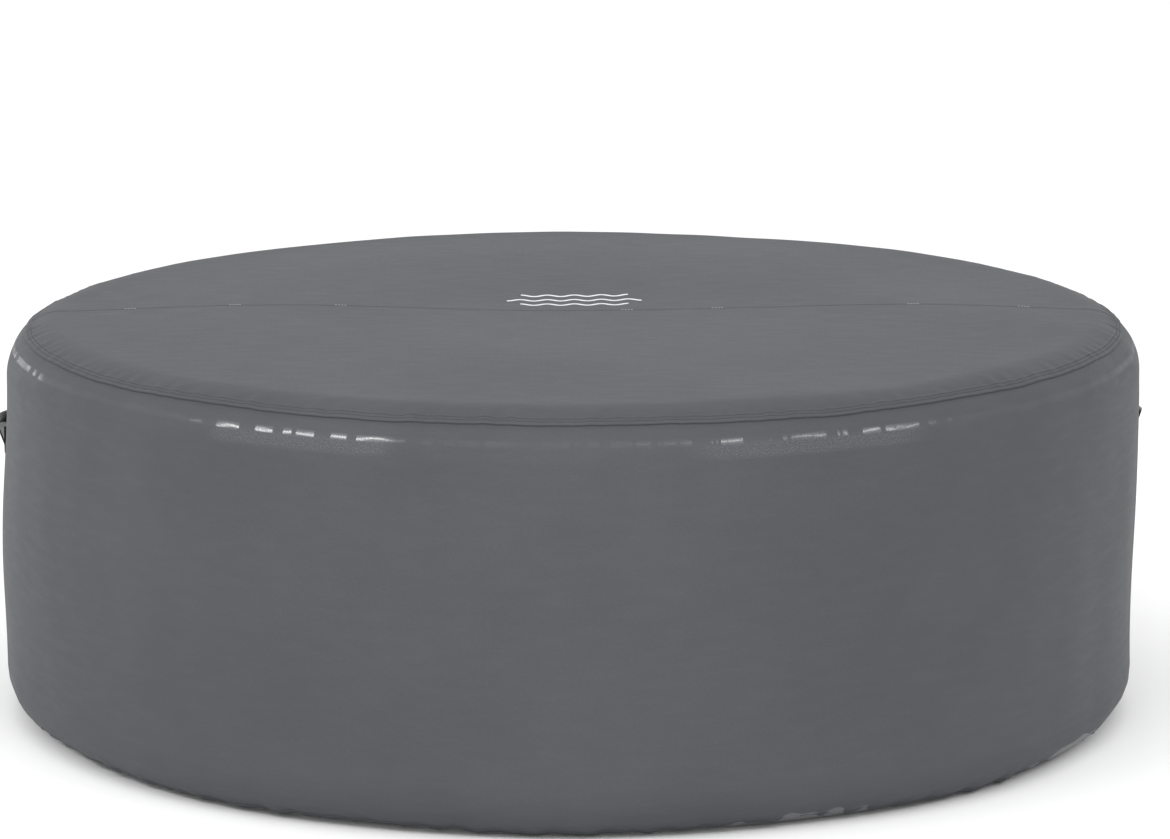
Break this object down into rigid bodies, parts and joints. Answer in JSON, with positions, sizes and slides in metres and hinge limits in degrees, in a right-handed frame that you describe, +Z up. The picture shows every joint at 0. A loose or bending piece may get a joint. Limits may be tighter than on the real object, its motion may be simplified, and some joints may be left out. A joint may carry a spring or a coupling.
{
  "type": "inflatable hot tub",
  "caption": "Round inflatable hot tub under a fitted full-height insulated cover with two carrying handles, with its separate pump and heater unit.",
  "frame": {"origin": "centre of the tub's underside, on the floor", "axes": "+Z up, -Y towards the viewer's side, +Y towards the pump unit, handles at -X and +X"},
  "size_m": [2.0533, 2.4038, 0.7099],
  "materials": {
    "cover_fabric": "coated woven fabric, dark grey, slight sheen",
    "cover_thread_tape": "black woven tape",
    "foam": "closed-cell foam sheet",
    "foil": "reflective foil-faced lining",
    "emblem_film": null,
    "strap": "black webbing",
    "wall_sheet": "laminated sheet, fine leather grain",
    "inner_sheet": "pale inner sheet",
    "web_sheet": "reinforced sheet",
    "base_sheet": "heavy base sheet",
    "pad": "padded floor",
    "port_plastic": "moulded",
    "white_plastic": "moulded",
    "case_plastic": "moulded case, fine texture",
    "case_pale": "moulded top",
    "panel": "smooth dark overlay",
    "button": "soft keys",
    "rubber": "soft rubber",
    "paper": "pleated filter paper",
    "steel": "drawn steel",
    "motor": "painted motor case",
    "board": "circuit board",
    "clear_vinyl": "grey-blue vinyl sheet"
  },
  "bodies": {
    "tub": {"tub_outer_wall": "wall_sheet", "tub_top_rim": "wall_sheet", "tub_inner_wall": "inner_sheet", "tub_base_sheet": "base_sheet", "wall_webs": "web_sheet", "floor_pad": "pad", "bubble_channel": "inner_sheet", "bubble_nozzles": "white_plastic", "port_plate_outside": "port_plastic", "port_plate_inside": "port_plastic", "wall_pipes": "white_plastic", "air_duct": "white_plastic", "wall_lock_rings": "port_plastic", "port_seals": "rubber", "filter_housing": "white_plastic", "outlet_screen": "white_plastic", "air_valve": "port_plastic", "drain_valve": "port_plastic", "pump_base_tray": "case_plastic", "pump_housing": "case_plastic", "pump_top_cover": "case_pale", "pump_feet": "rubber", "control_panel": "panel", "cable_gland": "rubber", "circulation_motor": "motor", "pump_volute": "white_plastic", "heater_tank": "steel", "heating_rods": "steel", "pump_pipes": "white_plastic", "blower_housing": "port_plastic", "control_board": "board"},
    "cover": {"cover_top_front": "cover_fabric", "cover_top_rear": "cover_fabric", "cover_skirt": "cover_fabric", "cover_top_foam": "foam", "cover_skirt_foam": "foam", "cover_foil_lining": "foil", "cover_piping": "cover_fabric", "cover_binding": "cover_thread_tape", "cover_emblem": "emblem_film", "handle_patches": "strap", "cushion_pocket": "foil", "lid_cushion": "clear_vinyl", "lid_cushion_webs": "clear_vinyl", "cushion_valve": "white_plastic"},
    "handle_left": {"handle_left": "strap"},
    "handle_right": {"handle_right": "strap"},
    "air_valve_cap": {"air_valve_cap": "port_plastic"},
    "drain_cap": {"drain_cap": "port_plastic"},
    "filter_cartridge": {"filter_cartridge": "paper"},
    "filter_cap": {"filter_cap": "white_plastic"},
    "impeller": {"impeller": "white_plastic"},
    "blower_wheel": {"blower_wheel": "port_plastic"},
    "hand_nut_inlet": {"hand_nut_inlet": "port_plastic"},
    "hand_nut_outlet": {"hand_nut_outlet": "port_plastic"},
    "hand_nut_air": {"hand_nut_air": "port_plastic"},
    "button_power": {"button_power": "button"},
    "button_heat": {"button_heat": "button"},
    "button_filter": {"button_filter": "button"},
    "button_bubbles": {"button_bubbles": "button"}
  },
  "joints": [
    {"name": "cover_lift", "type": "slide", "parent": "tub", "child": "cover", "axis": [0, 0, 1], "range_m": [0, 0.85]},
    {"name": "handle_left_swing", "type": "hinge", "parent": "cover", "child": "handle_left", "pos_m": [-0.98927, 0.12147, 0.469], "axis": [0.1219, 0.9925, 0], "range_deg": [0, 50]},
    {"name": "handle_right_swing", "type": "hinge", "parent": "cover", "child": "handle_right", "pos_m": [0.97492, 0.20723, 0.469], "axis": [0.2079, -0.9781, 0], "range_deg": [0, 50]},
    {"name": "air_valve_cap_flip", "type": "hinge", "parent": "tub", "child": "air_valve_cap", "pos_m": [-0.19684, 0.96748, 0.433], "axis": [0.9799, 0.1994, 0], "range_deg": [0, 120]},
    {"name": "drain_cap_turn", "type": "hinge", "parent": "tub", "child": "drain_cap", "pos_m": [0.19737, 0.97013, 0.084], "axis": [0.1994, 0.9799, 0], "range_deg": [0, 720]},
    {"name": "filter_pull", "type": "slide", "parent": "tub", "child": "filter_cartridge", "axis": [0, -1, 0], "range_m": [0, 0.16]},
    {"name": "filter_cap_twist", "type": "hinge", "parent": "filter_cartridge", "child": "filter_cap", "pos_m": [-0.075, 0.57, 0.22], "axis": [0, -1, 0], "range_deg": [0, 45]},
    {"name": "impeller_spin", "type": "hinge", "parent": "tub", "child": "impeller", "pos_m": [-0.075, 1.13, 0.22], "axis": [0, 1, 0], "continuous": true},
    {"name": "blower_spin", "type": "hinge", "parent": "tub", "child": "blower_wheel", "pos_m": [0, 1.212, 0.385], "axis": [0, 0, 1], "continuous": true},
    {"name": "hand_nut_inlet_turn", "type": "hinge", "parent": "tub", "child": "hand_nut_inlet", "pos_m": [-0.075, 1.024, 0.22], "axis": [0, 1, 0], "range_deg": [0, 720]},
    {"name": "hand_nut_outlet_turn", "type": "hinge", "parent": "tub", "child": "hand_nut_outlet", "pos_m": [0.075, 1.024, 0.22], "axis": [0, 1, 0], "range_deg": [0, 720]},
    {"name": "hand_nut_air_turn", "type": "hinge", "parent": "tub", "child": "hand_nut_air", "pos_m": [0, 1.024, 0.385], "axis": [0, 1, 0], "range_deg": [0, 720]},
    {"name": "button_power_press", "type": "slide", "parent": "tub", "child": "button_power", "axis": [0, 0, -1], "range_m": [0, 0.0012], "stiffness_N_per_m": 800},
    {"name": "button_heat_press", "type": "slide", "parent": "tub", "child": "button_heat", "axis": [0, 0, -1], "range_m": [0, 0.0012], "stiffness_N_per_m": 800},
    {"name": "button_filter_press", "type": "slide", "parent": "tub", "child": "button_filter", "axis": [0, 0, -1], "range_m": [0, 0.0012], "stiffness_N_per_m": 800},
    {"name": "button_bubbles_press", "type": "slide", "parent": "tub", "child": "button_bubbles", "axis": [0, 0, -1], "range_m": [0, 0.0012], "stiffness_N_per_m": 800}
  ]
}
